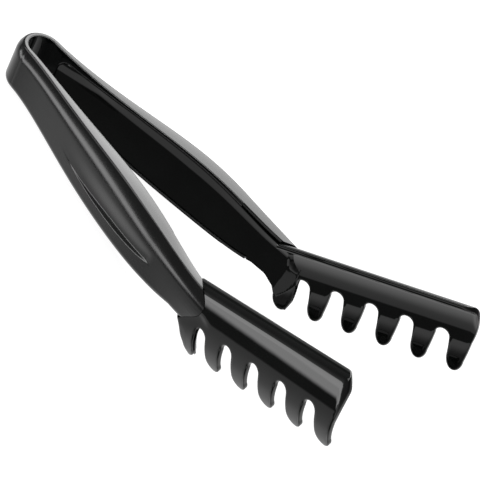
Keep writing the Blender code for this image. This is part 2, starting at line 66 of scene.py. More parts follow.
# Reach of the grip over the jaw: by the share of the way across its top, and by the depth down its side
LAP_ACROSS = ((0.0, 0.0005), (0.63, 0.0046), (0.95, 0.0073), (1.0, 0.0154))
LAP_DOWN = (
    (0.0, 0.0065), (0.0007, 0.0083), (0.0018, 0.0111), (0.0035, 0.0135), (0.0059, 0.0154),
    (0.0086, 0.0154), (0.0110, 0.0149), (0.0130, 0.0140), (0.0156, 0.0122), (0.0187, 0.0095),
    (0.0212, 0.0074), (0.0242, 0.0050), (0.0263, 0.0036),
)
LAP_SIDE = 0.0037              # the comb follows the lap's end from this depth down
FLOOR_END = 0.0125             # the grip's underside ends this far before the arm does
FLOOR_RUNOUT = 0.0008
FIT = 0.0003                   # clearance between the pieces

# Finger rest
REST_START = 0.058
REST_END = 0.150
REST_DEPTH = 0.0014
REST_UPPER = 0.34              # its upper and lower end, as shares of the arm's height
REST_LOWER = 0.74
REST_RUN = 0.10                # share of the height that is left under its full depth
REST_STEEP = 0.55              # slope of its lower end
REST_FADE = 0.70               # share of the length over which it deepens

# Lip, slot and tang on the inside
LIP = 0.0004                   # thickness of the core's lip in front of the grip
LIP_SINK = 0.0002              # the lip stays this far below the grip's edge
RIM_FILLET = 0.0003
LIP_FILLET = 0.00025
POCKET_DEPTH = 0.0034
TANG_START = 0.0165
TANG_CORNER = 0.0070
TANG_SLOT = 0.0004
TANG_BACK = 0.0030             # thickness of the tang
TANG_FILLET = 0.0003
FACET_DEPTH = 0.0006           # the tang's face lies this much behind the edge of its upper strip
# By the place along the arm: depth of the tang's upper edge, and of the lower end of its sloping face
TANG_TOP = ((0.0165, 0.0050), (0.046, 0.0031), (0.070, 0.0021), (0.120, 0.0026), (0.176, 0.0036))
FACET_LOW = ((0.0165, 0.0130), (0.047, 0.0066), (0.084, 0.0078), (0.113, 0.0087), (0.176, 0.0068))

# Jaw
ROOT_LENGTH = 0.0280
ROOT_FLARE_START = 0.1760
ROOT_FLARE_END = 0.1850
ROOT_DROP = 0.0295
# Where the root's inner side leaves the arm, and how steeply, by depth
LEAF_START = (
    (0.0, 0.1830), (0.0050, 0.1839), (0.0110, 0.1860),
    (0.0170, 0.1857), (0.0230, 0.1853), (0.0370, 0.1843),
)
LEAF_SLOPE = ((0.0, 1.2), (0.0080, 1.2), (0.0130, 0.45), (0.0370, 0.45))
# By the place along the arm: depth of the root's lower and upper edge where it is in the comb
ROOT_TOE = ((0.1850, 0.0295), (0.1870, 0.0335), (0.1900, 0.0360), (0.1930, 0.0375), (0.1970, 0.0370))
ROOT_CREST = ((0.1920, 0.0036), (0.1940, 0.0200), (0.1970, 0.0310))
ROOT_END = 0.1970
ROOT_HIDE = 0.0065             # the root's outer side turns into the comb this far before the inner side
ROOT_UNDER = 0.0003            # the root's inner side ends this far under the comb's inner face
HEAD_TILT = 25.5
HEAD_SET = (0.00235, -0.0431, 0.00178)  # tip of the first tooth from the arm's end: along, up and out
PLATE = 0.0030                 # thickness of the comb
# The comb's section from the tips: hooked teeth, a slight crown and a curled upper edge
HOOK_ANGLE = 30.0
HOOK_RADIUS = 0.0275
CROWN_ANGLE = 19.0
CROWN_RADIUS = 0.0680
CURL_ANGLE = 95.0
CURL_RADIUS = 0.0060
TOP_ANGLE = 90.0               # the comb is highest where it has curled this far
ROOT_ANGLE = 80.0              # the root meets the comb up to this much of the curl
TIP_OUT = 0.0022
END_ROLL = 0.0040              # the free end rolls in with this radius, over this length
END_ROLL_LENGTH = 0.0030
# Teeth, in the flat comb
TOOTH_COUNT = 6
TOOTH_PITCH = 0.0208
TOOTH_BACK = 0.0070
TOOTH_FRONT = 0.0026
TOOTH_LEAN = 0.0029
TIP_LOW = -0.0015
TIP_BACK_RISE = 0.0070
TIP_FRONT_RISE = 0.0050
GAP_TOP = 0.0204
FIRST_BACK = 0.0083
FIRST_BEVEL = 0.0038           # the first tooth's back edge leans forward by this much across its thickness
FIRST_BEVEL_HIGH = 0.0020      # and by this much higher up
BEVEL_RUN = (0.001, 0.006)     # the lean grows between these lengths behind the tip
BEVEL_TIP = 0.75               # share of the lean at the tip's height
WEB_START = (-0.0130, 0.0215)
WEB_BEND = (-0.0109, 0.0130)
WEB_FOOT = 0.6                 # the outline's last point is at this share of the web's start
BEVEL_TOP = WEB_START[1] + 2.0 * PLATE
COMB_BACK = 0.0036             # the comb starts this far behind its first tooth's tip
MEET_LENGTH = 0.0090           # length over which the comb's face leaves the grip's
MEET_RISE = 4.0 * SHOULDER     # and the length before the grip's end over which it comes to it
MEET_TOP = 0.0080              # they don't meet above this depth
END_BEND = (0.0086, 0.0245)
END_TOP = (0.0097, 0.0339)
END_CORNER = 0.0075
EDGE_ROUND = 0.0008            # rounding of the comb's edges
CUTTER_REACH = 5.0 * SHOULDER  # size of the shape that cuts the lap's room out of the jaw

# Fineness
ARM_STEP = 0.0014
BEND_STEPS = 40
FACE_ROWS = 44
ROUND_STEPS = 10
FILLET_STEPS = 3
TANG_END_STEPS = 14
ROOT_EDGE_ROWS = (0.0, 0.012, 0.03)  # rows at the root's edges, as shares of its height
ROOT_FIRST = 0.05              # even rows fill the rest from here
ROOT_ROWS = 26
OUTLINE_STEPS = 10
EDGE_STEPS = 4
GRID_STEP = 0.0012
GRID_FINE = 0.0006
GRID_CLEAR = 0.0005            # the grid stays this far from the outline
CUTTER_LEAD = 4.0 * ARM_STEP
LENGTH_SAMPLES = 300
COMB_FACE_SAMPLES = 120
SHARP_ANGLE = 38.0
TINY = 1e-6

# Camera, in the frame of the arms
CAMERA_TURN = 25.05
CAMERA_FALL = 39.72
CAMERA_ROLL = 30.04
CAMERA_SET = (-0.113042, 0.111849, -1.026797)  # the arms' origin as the camera sees it
CAMERA_LENS = 1871.6           # focal length in pixels of the photograph
PHOTO_SIZE = 480
SENSOR = 36.0
CLIP = (0.01, 100.0)

# Surroundings that reflections see: directions are a turn from +X and a rise, in degrees
STUDIO_UP = (-85.0, 48.0)      # the way that is up for the table and the softboxes
TABLE_EDGE = -4.0
TABLE_SOFT = (0.02, 0.005)     # how far its edge fades below and above, as sines
TABLE_LEVEL = 0.42
TABLE_DEEP = -30.0             # the table brightens from here to its edge
TABLE_GAIN = 0.50
POOL_AT = (-72.0, -70.0)
POOL_WIDE = 18.0
POOL_GAIN = 0.8
ROOM_LOW = 6.5
ROOM_SOFT = 1.0
ROOM_FULL = 10.0               # the room dims between these two
ROOM_TOP = 32.0
ROOM_LEVEL = 0.80
ROOM_LEFT = 0.15
FRONT_AT = (-90.0, -20.0)
FRONT_EDGE = 0.2
FRONT_FULL = 0.7
DARK_LEVEL = 0.08
AHEAD_SOFT = 0.01              # softness of the cut that keeps a softbox out of the sky behind it
# Softboxes: direction, half width and half height, softness of the edges as a tangent, and brightness
SOFTBOXES = (
    ((-133.2, -18.8), 18.0, 7.9, 0.025, 3.4),
    ((-155.0, 52.0), 22.0, 12.0, 0.10, 2.6),
)

# Lamps: name, place, what it faces, width, height and power
LAMPS = (
    ("overhead", (-0.346, 0.742, 0.880), (0.0, 0.0, 0.02), 0.87, 1.25, 19.5),
)

# Floor
FLOOR_SIZE = 6.0
FLOOR_DROP = 0.0003
FLOOR_GREY = (0.6, 0.6, 0.6, 1.0)
FLOOR_SEEN = (0.25, 0.25, 0.25, 1.0)
FLOOR_GLOW = 0.945
WHITE = (1.0, 1.0, 1.0, 1.0)

# Plastic
PLASTIC_IOR = 1.5
CORE_TINT = (0.005, 0.0055, 0.0055)
CORE_ROUGH = (0.05, 0.08)      # lowest and highest roughness
JAW_TINT = (0.004, 0.0045, 0.0042)
JAW_ROUGH = (0.02, 0.035)
CLOUD_DARK = 0.8               # the clouds make a gloss's tint this much darker and lighter
CLOUD_LIGHT = 1.3

# Shares and curves


def limited(value):
    """The value, kept between 0 and 1."""
    return min(max(value, 0.0), 1.0)


def smooth(value, low, high):
    """Smooth rise from 0 at low to 1 at high."""
    share = limited((value - low) / (high - low))
    return share * share * (3.0 - 2.0 * share)


def round_off(radius, share):
    """How far a quarter circle falls away by the share of its radius."""
    return radius * (1.0 - sqrt(1.0 - share * share))


def arm_share(x):
    return limited(x / ARM_REACH)


def swell(x):
    """Swelling of the arm: none at its ends, 1 at two thirds of its length."""
    u = arm_share(x)
    return SWELL_SCALE * u * u * (1.0 - u)


def height(x):
    return BEND_HEIGHT + (END_HEIGHT - BEND_HEIGHT) * arm_share(x) + HEIGHT_SWELL * swell(x)


def deep(x):
    """Depth of the arm under its rim, with its lower edge kept low at the end."""
    return max(height(x), LOW_EDGE + rim(x))


def along_table(x, table):
    """Value from a table of places and values."""
    return float(np.interp(x, [row[0] for row in table], [row[1] for row in table]))


def wall(x):
    """Thickness of the arm, from its inner face to its outer one."""
    return BEND_WALL + (END_WALL - BEND_WALL) * arm_share(x) + WALL_SWELL * swell(x)


def rim(x):
    """Height of the arm's upper rim."""
    u = arm_share(x)
    return RIM_RISE * (RIM_SCALES[0] * u) ** 4 * (RIM_SCALES[1] * (1.0 - u)) ** 2


def arm_place(x):
    """Inner rim point and outward direction on the far arm, also round the bend for x below BEND_RADIUS."""
    start = np.array((BEND_RADIUS, BEND_RADIUS))
    ease = np.array((BEND_RADIUS + BEND_EASE, BEND_RADIUS))
    end = np.array((ARM_REACH, ARM_SPREAD))
    if x >= ARM_REACH:
        run = (end - ease) / np.linalg.norm(end - ease)
        spot = end + run * (x - ARM_REACH) / run[0]
    else:
        a = start[0] - 2.0 * ease[0] + end[0]
        b = 2.0 * (ease[0] - start[0])
        c = start[0] - x
        t = (-b + sqrt(b * b - 4.0 * a * c)) / (2.0 * a)
        spot = (1 - t) ** 2 * start + 2 * t * (1 - t) * ease + t * t * end
        run = (1 - t) * (ease - start) + t * (end - ease)
        run = run / np.linalg.norm(run)
    return Vector((x, spot[1], 0.0)), Vector((-run[1], run[0], 0.0))


def bend_place(angle):
    """Inner rim point and outward direction round the bend, by the angle from its middle."""
    point = Vector((BEND_RADIUS * (1.0 - cos(angle)), BEND_RADIUS * sin(angle), 0.0))
    return point, Vector((-cos(angle), sin(angle), 0.0))


def on_arm(x, out, up):
    """Point on the far arm: this far out from its inner face, at this height."""
    place, away = arm_place(x)
    return place + away * out + Vector((0.0, 0.0, up))


def splay():
    """Angle between the arm's end and the tongs' middle."""
    return atan2(ARM_SPREAD - BEND_RADIUS, ARM_REACH - BEND_RADIUS - BEND_EASE)


def head_axes():
    """Where the comb starts on the far arm, and its directions along, up and outward."""
    tilt = radians(HEAD_TILT)
    turn = splay()
    along = Vector((cos(tilt) * cos(turn), sin(turn), sin(tilt) * cos(turn)))
    up = Vector((-sin(tilt), 0.0, cos(tilt)))
    outward = up.cross(along)
    start = arm_place(ARM_REACH)[0] + Vector((0.0, 0.0, rim(ARM_REACH)))
    start = start + along * HEAD_SET[0] + up * HEAD_SET[1] + outward * HEAD_SET[2]
    return start, along, up, outward


def stations(start, end, step):
    """Even places from start to end, about a step apart."""
    count = max(2, int(round((end - start) / step)) + 1)
    return [start + (end - start) * k / (count - 1) for k in range(count)]


# Meshes and objects


def ellipse(centre, wide, tall, start, end, steps):
    points = []
    for k in range(steps + 1):
        angle = radians(start + (end - start) * k / steps)
        points.append((centre[0] + wide * cos(angle), centre[1] + tall * sin(angle)))
    return points


def arc(centre, radius, start, end, steps):
    return ellipse(centre, radius, radius, start, end, steps)


def clean(mesh):
    """Joins double points, drops faces without area and turns all faces outwards."""
    bmesh.ops.remove_doubles(mesh, verts=mesh.verts, dist=TINY)
    bmesh.ops.dissolve_degenerate(mesh, edges=mesh.edges, dist=TINY)
    mesh.normal_update()
    bmesh.ops.recalc_face_normals(mesh, faces=mesh.faces)


def lofted(rings):
    """A closed solid through rings of points; each end is closed with strips across its section."""
    mesh = bmesh.new()
    loops = [[mesh.verts.new(p) for p in ring] for ring in rings]
    count = len(loops[0])
    for one, two in zip(loops, loops[1:]):
        for k in range(count):
            n = (k + 1) % count
            mesh.faces.new((one[k], one[n], two[n], two[k]))
    for loop in (loops[0][::-1], loops[-1]):
        for k in range(count // 2 - 1):
            mesh.faces.new((loop[k], loop[k + 1], loop[count - 2 - k], loop[count - 1 - k]))
    clean(mesh)
    return mesh


def linked(name, data):
    made = bpy.data.objects.new(name, data)
    bpy.context.scene.collection.objects.link(made)
    return made


def loose(name, mesh):
    """An object that takes the mesh as it is."""
    data = bpy.data.meshes.new(name)
    mesh.to_mesh(data)
    mesh.free()
    return linked(name, data)


def piece(name, mesh, side, stance, finish):
    """An object from a mesh made for the far side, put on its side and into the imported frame."""
    for vert in mesh.verts:
        vert.co = stance @ Vector((vert.co.x, vert.co.y * side, vert.co.z))
    mesh.normal_update()
    bmesh.ops.recalc_face_normals(mesh, faces=mesh.faces)
    made = loose(name, mesh)
    made.data.materials.append(finish)
    made.data.shade_smooth()
    made.data.set_sharp_from_angle(angle=radians(SHARP_ANGLE))
    return made


def find_stance():
    """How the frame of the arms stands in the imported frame, from the near joint's axis and place."""
    joint = next(j for j in frame["joints"] if j["name"] == "near_arm_squeeze")
    turn = Matrix.Rotation(atan2(joint["axis"][0], joint["axis"][2]), 4, "Y")
    hinge = Vector((BEND_RADIUS, -BEND_RADIUS - 0.5 * wall(BEND_RADIUS), -0.5 * BEND_HEIGHT))
    return Matrix.Translation(Vector(joint["pos_m"]) - turn @ hinge) @ turn


# Cover and core


def rest_depth(x, share):
    """Depth of the finger rest by the share of the arm's height: a slow slope down and a steep lower end."""
    along = (x - REST_START) / (REST_END - REST_START)
    if along <= 0.0 or along >= 1.0:
        return 0.0
    oval = sqrt(1.0 - (2.0 * along - 1.0) ** 2)
    middle = 0.5 * (REST_UPPER + REST_LOWER)
    low = middle + (REST_LOWER - middle) * oval
    slope = REST_DEPTH * oval * smooth(along, 0.0, REST_FADE) * smooth(share, REST_UPPER, low - REST_RUN)
    return max(0.0, min(slope, (low - share) * deep(x) * REST_STEEP))


def flank(x):
    """Setback of the outer side at the top of the arm, and the depth over which it fades."""
    return FLANK + FLANK_SWELL * swell(x), FLANK_DROP + FLANK_DROP_SWELL * swell(x)


def flank_out(x, up):
    """How far out the sloping flank is."""
    wide, drop = flank(x)
    return wall(x) - wide * limited(up / drop + 1.0) ** FLANK_POWER


def cover_out(x, up):
    """How far out the grip's outer face is, with its sloping flank and round lower edge."""
    return flank_out(x, up) - round_off(SHOULDER, limited((SHOULDER - deep(x) - up) / SHOULDER))


def core_out(x, up):
    """How far out the parts under the grip may reach."""
    return flank_out(x, up) - GRIP_WALL - FIT


def shoulder_points(x):
    """The grip's outline from its flat top round the edge and down the flank."""
    thick = wall(x)
    wide, drop = flank(x)
    lean = pi / 2 - atan2(wide * FLANK_POWER, drop)
    reach = FLANK_EDGE * tan(0.5 * lean)
    centre = (thick - wide - reach, -FLANK_EDGE)
    points = arc(centre, FLANK_EDGE, 90, 90 - degrees(lean), ROUND_STEPS)
    start = -points[-1][1]
    for k in range(1, ROUND_STEPS + 1):
        depth = start + (drop - start) * k / ROUND_STEPS
        points.append((thick - wide * max(1.0 - depth / drop, 0.0) ** FLANK_POWER, -depth))
    return points


def cover_section(x, floor_share):
    """Outline of the soft cover: a channel whose walls end just short of the inner face."""
    thick = wall(x)
    low = deep(x)
    drop = flank(x)[1]
    channel = thick - GRIP_WALL
    floor = LIP + (channel - LIP) * (1.0 - floor_share)
    points = arc((LIP + RIM_FILLET, -RIM_FILLET), RIM_FILLET, 180, 90, FILLET_STEPS)
    points += [(out - rest_depth(x, -up / low), up) for out, up in shoulder_points(x)]
    for k in range(1, FACE_ROWS):
        share = k / FACE_ROWS
        up = -drop - (low - drop - SHOULDER) * share
        points.append((thick - rest_depth(x, -up / low), up))
    points += arc((thick - SHOULDER, SHOULDER - low), SHOULDER, 0, -90, ROUND_STEPS)
    points += arc((LIP + RIM_FILLET, RIM_FILLET - low), RIM_FILLET, -90, -180, FILLET_STEPS)
    lift = round_off(SHOULDER, limited((floor - thick + SHOULDER) / SHOULDER))
    points = [(max(out, floor), max(up, lift - low)) if -2.0 * up > low else (out, up) for out, up in points]
    back = []
    for out, up in points:
        level = min(max(up, GRIP_WALL - low), -GRIP_WALL)
        back.append((min(out, core_out(x, level) + FIT), level))
    return points + back[::-1]


def lap(x, out, up):
    """How far the grip's end reaches over the jaw."""
    share = smooth(x, ARM_REACH - GRIP_LAP_START, ARM_REACH)
    across = along_table(out / (wall(x) - GRIP_WALL - FIT), LAP_ACROSS)
    return share * min(across, along_table(-up, LAP_DOWN))


def bend_rings(section):
    """Rings of one section round the far half of the bend."""
    angles = [0.5 * pi * k / BEND_STEPS for k in range(BEND_STEPS)]
    rings = []
    for angle in angles:
        place, away = bend_place(angle)
        rings.append([place + away * out + Vector((0.0, 0.0, up)) for out, up in section])
    return rings


def cover_mesh():
    """The far half of the soft cover, from the middle of the bend to its end over the jaw."""
    rings = bend_rings(cover_section(0.0, 1.0))
    floor_stop = ARM_REACH - FLOOR_END
    places = stations(BEND_RADIUS, floor_stop - FLOOR_RUNOUT, ARM_STEP)
    places += stations(floor_stop - FLOOR_RUNOUT, ARM_REACH, 0.5 * ARM_STEP)[1:]
    for x in places:
        run_out = smooth(x, floor_stop - FLOOR_RUNOUT, floor_stop)
        ring = []
        for out, up in cover_section(x, 1.0 - run_out):
            ring.append(on_arm(x + lap(x, out, up), out, rim(x) + up))
        rings.append(ring)
    return lofted(rings)


def tang_margin(x, start, corner):
    """How far the tang's round end is narrower at a place."""
    into = min(max(start + corner - x, 0.0), corner)
    return corner - sqrt(corner * corner - into * into)


def tang_stations(start, corner):
    """Places round the tang's end, closer together where it turns most."""
    shares = [k / TANG_END_STEPS for k in range(TANG_END_STEPS + 1)]
    return [start + corner * (1.0 - cos(0.5 * pi * share)) for share in shares]


def tang_edges(x, slot):
    """Depths of the tang's upper and lower edge, or of the pocket's with a slot."""
    margin = tang_margin(x, TANG_START - slot, TANG_CORNER + slot)
    return along_table(x, TANG_TOP) + margin - slot, deep(x) - GRIP_WALL - TANG_SLOT - margin + slot


def core_section(x, pocket):
    """Outline of the core: a lip on the inner face, the tang's pocket in it and a body behind."""
    high, bottom = tang_edges(x, TANG_SLOT)
    r = LIP_FILLET
    top = -LIP_SINK
    low = LIP_SINK - deep(x)
    points = [(LIP, top)]
    points += arc((r, top - r), r, 90, 180, FILLET_STEPS)
    points += arc((r, r - high), r, 180, 270, FILLET_STEPS)
    points += [(max(pocket, r), -high), (max(pocket, r), -bottom)]
    points += arc((r, -bottom - r), r, 90, 180, FILLET_STEPS)
    points += arc((r, low + r), r, 180, 270, FILLET_STEPS)
    points.append((LIP, low))
    back_top = -GRIP_WALL - FIT
    back_low = GRIP_WALL + FIT - deep(x)
    half = len(points)
    rows = [back_low + (back_top - back_low) * k / (half - 3) for k in range(half - 2)]
    back = [(LIP, back_low)] + [(core_out(x, up), up) for up in rows] + [(LIP, back_top)]
    return points + back


def plain_section(x):
    """The core's outline where it has no pocket, with as many points."""
    points = core_section(x, 0.0)
    low = LIP_SINK - deep(x)
    r = LIP_FILLET
    count = len(points) // 2
    head = [(LIP, -LIP_SINK)] + arc((r, -LIP_SINK - r), r, 90, 180, FILLET_STEPS)
    tail = arc((r, low + r), r, 180, 270, FILLET_STEPS) + [(LIP, low)]
    rows = count - len(head) - len(tail)
    top = -LIP_SINK - r
    middle = [(0.0, top + (low + r - top) * (k + 1) / (rows + 1)) for k in range(rows)]
    return head + middle + tail + points[count:]


def core_mesh():
    """The far half of the core, from the middle of the bend to the root of the jaw."""
    rings = bend_rings(plain_section(0.0))
    start = TANG_START - TANG_SLOT
    corner = TANG_CORNER + TANG_SLOT
    places = [(x, None) for x in stations(BEND_RADIUS, start, ARM_STEP)]
    places += [(x, POCKET_DEPTH) for x in tang_stations(start, corner)]
    places += [(x, POCKET_DEPTH) for x in stations(start + corner, ARM_REACH - ROOT_LENGTH, ARM_STEP)[1:]]
    for x, pocket in places:
        section = plain_section(x) if pocket is None else core_section(x, pocket)
        rings.append([on_arm(x, out, rim(x) + up) for out, up in section])
    return lofted(rings)


# Comb and jaw


def comb_section(s):
    """Middle of the comb's plate by the length s from the tips: outward, up and lean angle."""
    hook = HOOK_RADIUS * radians(HOOK_ANGLE)
    crown = CROWN_RADIUS * radians(CROWN_ANGLE)
    out = TIP_OUT
    up = 0.0
    if s < 0.0:
        return TIP_OUT + s * sin(radians(HOOK_ANGLE)), s * cos(radians(HOOK_ANGLE)), radians(HOOK_ANGLE)
    lean = radians(HOOK_ANGLE) - min(s, hook) / HOOK_RADIUS
    out += HOOK_RADIUS * (cos(lean) - cos(radians(HOOK_ANGLE)))
    up += HOOK_RADIUS * (sin(radians(HOOK_ANGLE)) - sin(lean))
    if s > hook:
        lean = -min(s - hook, crown) / CROWN_RADIUS
        out -= CROWN_RADIUS * (1.0 - cos(lean))
        up -= CROWN_RADIUS * sin(lean)
    if s > hook + crown:
        start = radians(CROWN_ANGLE)
        curl = start + (s - hook - crown) / CURL_RADIUS
        out -= CURL_RADIUS * (cos(start) - cos(curl))
        up += CURL_RADIUS * (sin(curl) - sin(start))
        lean = -curl
    return out, up, lean


def comb_length():
    """Length of the comb's section, from the tips to the end of its curl."""
    curl = CURL_RADIUS * radians(CURL_ANGLE - CROWN_ANGLE)
    return HOOK_RADIUS * radians(HOOK_ANGLE) + CROWN_RADIUS * radians(CROWN_ANGLE) + curl


def length_at(up):
    """Length from the tips at which the comb reaches a height."""
    top = comb_length() - CURL_RADIUS * radians(CURL_ANGLE - TOP_ANGLE)
    samples = np.linspace(0.0, top, LENGTH_SAMPLES)
    heights = [comb_section(s)[1] for s in samples]
    return float(np.interp(up, heights, samples))


def curve(start, bend, end, steps):
    """Points of a curve from start to end that is pulled towards bend."""
    points = []
    for k in range(steps + 1):
        t = k / steps
        shares = ((1 - t) ** 2, 2 * t * (1 - t), t * t)
        points.append(tuple(sum(n * p[i] for n, p in zip(shares, (start, bend, end))) for i in (0, 1)))
    return points


def comb_outline():
    """Outline of the flat comb: along the jaw, and up from the tips."""
    points = []
    gap_round = 0.5 * (TOOTH_PITCH - TOOTH_BACK - TOOTH_FRONT - TOOTH_LEAN)
    n = OUTLINE_STEPS
    for k in range(TOOTH_COUNT):
        tip = k * TOOTH_PITCH
        back = FIRST_BACK if k == 0 else TOOTH_BACK
        if k == 0:
            points += curve(WEB_START, WEB_BEND, (-back, TIP_BACK_RISE), 2 * n)[:-1]
        points += ellipse((tip + TIP_LOW, TIP_BACK_RISE), back + TIP_LOW, TIP_BACK_RISE, 180, 270, n)
        front = TOOTH_FRONT - TIP_LOW
        points += ellipse((tip + TIP_LOW, TIP_FRONT_RISE), front, TIP_FRONT_RISE, 270, 360, n)[1:]
        if k < TOOTH_COUNT - 1:
            centre = (tip + TOOTH_PITCH - TOOTH_BACK - gap_round, GAP_TOP - gap_round)
            points += ellipse(centre, gap_round, gap_round, 180, 0, 2 * n)
    last = (TOOTH_COUNT - 1) * TOOTH_PITCH
    root = (last + TOOTH_FRONT + TOOTH_LEAN, GAP_TOP - gap_round)
    points += curve(root, (last + END_BEND[0], END_BEND[1]), (last + END_TOP[0], END_TOP[1]), n)
    flat = [(along, length_at(up)) for along, up in points]
    corner_start = length_at(END_TOP[1])
    tall = comb_length() - corner_start
    flat += ellipse((last + END_TOP[0] - END_CORNER, corner_start), END_CORNER, tall, 0, 90, n)[1:]
    flat += [(-COMB_BACK, comb_length()), (-COMB_BACK, length_at(-HEAD_SET[1] - GRIP_WALL - PLATE))]
    flat.append((WEB_FOOT * WEB_START[0], length_at(WEB_START[1] + PLATE)))
    return flat


def spread(points, step):
    """The closed outline with points no further apart than a step."""
    out = []
    for a, b in zip(points, points[1:] + points[:1]):
        a = np.array(a)
        b = np.array(b)
        count = max(1, int(np.ceil(np.linalg.norm(b - a) / step)))
        if np.linalg.norm(b - a) < TINY:
            continue
        out += [a + (b - a) * k / count for k in range(count)]
    return np.array(out)


def inset(points, depth):
    """The closed outline moved inwards, along the mean of the two edges' normals."""
    ahead = np.roll(points, -1, axis=0) - points
    ahead /= np.linalg.norm(ahead, axis=1)[:, None]
    behind = np.roll(ahead, 1, axis=0)
    inward = np.stack([-(ahead + behind)[:, 1], (ahead + behind)[:, 0]], axis=1)
    inward /= np.linalg.norm(inward, axis=1)[:, None]
    return points + inward * depth


def inside(outline, spots):
    """Which spots lie in a closed outline."""
    x, y = spots[:, 0], spots[:, 1]
    found = np.zeros(len(spots), bool)
    for a, b in zip(outline, np.roll(outline, -1, axis=0)):
        if a[1] == b[1]:
            continue
        crosses = (a[1] > y) != (b[1] > y)
        found ^= crosses & (x < (b[0] - a[0]) * (y - a[1]) / (b[1] - a[1]) + a[0])
    return found


def fill(outline):
    """Points and triangles of a face in an outline, with a fine grid inside."""
    low = outline.min(axis=0)
    high = outline.max(axis=0)
    curl = comb_length() - CURL_RADIUS * radians(CURL_ANGLE - CROWN_ANGLE)
    rows = list(np.arange(low[1], curl, GRID_STEP)) + list(np.arange(curl, high[1], GRID_FINE))
    columns = np.arange(low[0], high[0], GRID_STEP)
    spots = np.array([(x, y) for y in rows for x in columns])
    spots = spots[inside(inset(outline, GRID_CLEAR), spots)]
    points = [Vector(p) for p in outline] + [Vector(p) for p in spots]
    ring = list(range(len(outline)))
    verts, _, faces, origin, _, _ = delaunay_2d_cdt(points, [], [ring], 1, TINY)
    return [tuple(v) for v in verts], [tuple(f) for f in faces], origin


def comb_sheet():
    """The comb before it is bent: a flat sheet with rounded edges."""
    outline = spread(comb_outline(), GRID_STEP)
    verts, faces, origin = fill(inset(outline, EDGE_ROUND))
    border = {}
    for k, sources in enumerate(origin):
        for source in sources:
            if source < len(outline):
                border[source] = k
    mesh = bmesh.new()
    caps = []
    for sign in (1.0, -1.0):
        cap = [mesh.verts.new((v[0], v[1], sign * 0.5 * PLATE)) for v in verts]
        for face in faces:
            mesh.faces.new([cap[i] for i in (face if sign > 0 else face[::-1])])
        caps.append(cap)
    rings = [[caps[0][border[k]] for k in range(len(outline))]]
    for sign in (1.0, -1.0):
        steps = range(1, EDGE_STEPS + 1) if sign > 0 else range(EDGE_STEPS, 0, -1)
        for k in steps:
            angle = 0.5 * pi * k / EDGE_STEPS
            sunk = EDGE_ROUND * (1.0 - sin(angle))
            z = sign * (0.5 * PLATE - EDGE_ROUND * (1.0 - cos(angle)))
            rings.append([mesh.verts.new((p[0], p[1], z)) for p in inset(outline, sunk)])
    rings.append([caps[1][border[k]] for k in range(len(outline))])
    for one, two in zip(rings, rings[1:]):
        for k in range(len(outline)):
            n = (k + 1) % len(outline)
            mesh.faces.new((one[k], two[k], two[n], one[n]))
    return mesh


def first_lean(along, s, outer_share):
    """How far the back edge of the first tooth leans forward, by the place in the flat comb."""
    if s >= BEVEL_TOP:
        return 0.0
    lean_back = smooth(-along, *BEVEL_RUN) * (BEVEL_TIP + (1.0 - BEVEL_TIP) * smooth(s, 0.0, TIP_BACK_RISE))
    high_part = smooth(s, WEB_BEND[1], WEB_START[1])
    return (FIRST_BEVEL + (FIRST_BEVEL_HIGH - FIRST_BEVEL) * high_part) * outer_share * lean_back


def meet_grip(face):
    """The way from a point of the comb's outer face to the grip's, fading beyond the grip's end."""
    place, away = arm_place(face.x)
    depth = max(face.z, -LOW_EDGE)
    end = ARM_REACH + lap(ARM_REACH, wall(ARM_REACH), min(depth, -LAP_SIDE))
    target = cover_out(ARM_REACH, max(depth, SHOULDER - LOW_EDGE))
    gap = min(0.0, target - (face - place).dot(away)) * smooth(-depth, MEET_TOP, MEET_TOP + LAP_SIDE)
    rise = smooth(face.x, end - MEET_RISE, end - SHOULDER)
    return away * gap * ((1.0 - smooth(face.x, end, end + MEET_LENGTH)) * rise)


def comb_mesh():
    """The comb on the far arm: its sheet, bent to the section and rolled in at its free end."""
    mesh = comb_sheet()
    free_end = (TOOTH_COUNT - 1) * TOOTH_PITCH + END_TOP[0]
    start, along_axis, up_axis, out_axis = head_axes()
    for vert in mesh.verts:
        along, s, thick = vert.co
        out, up, lean = comb_section(s)
        outer_share = thick / PLATE + 0.5
        along += first_lean(along, s, outer_share)
        into = max(0.0, along - free_end + END_ROLL_LENGTH)
        out += thick * cos(lean) - (END_ROLL - sqrt(END_ROLL ** 2 - into ** 2))
        up -= thick * sin(lean)
        vert.co = start + along_axis * along + up_axis * up + out_axis * out
        middle_up = up + thick * sin(lean)
        middle_out = out - thick * cos(lean)
        middle = start + along_axis * along + up_axis * middle_up + out_axis * middle_out
        face = middle + up_axis * (-0.5 * PLATE * sin(lean)) + out_axis * (0.5 * PLATE * cos(lean))
        vert.co += meet_grip(face) * outer_share
    clean(mesh)
    return mesh


def flare_start():
    """Place where the grip's underside has ended and the root fills the arm's full depth."""
    floor_stop = ARM_REACH - FLOOR_END
    return floor_stop + lap(floor_stop, 0.0, -deep(floor_stop)) + FIT


def root_limits(x):
    """Heights of the upper and lower edge of the tang and root."""
    high, bottom = tang_edges(x, 0.0)
    top = rim(x) - high
    low = rim(x) - bottom
    if x > flare_start():
        low = rim(x) - deep(x)
    drop = smooth(x, ROOT_FLARE_START, ROOT_FLARE_END)
    low = low + (-ROOT_DROP - low) * drop
    if x > ROOT_FLARE_END:
        low = -along_table(x, ROOT_TOE)
    if x > ARM_REACH:
        top = min(top, -along_table(x, ROOT_CREST))
    return top, low


def facet(x, up):
    """How far the tang's face lies behind the edge of its upper strip, by height."""
    high = along_table(x, TANG_TOP)
    low = along_table(x, FACET_LOW)
    return FACET_DEPTH * limited((rim(x) - up - high) / (low - high))


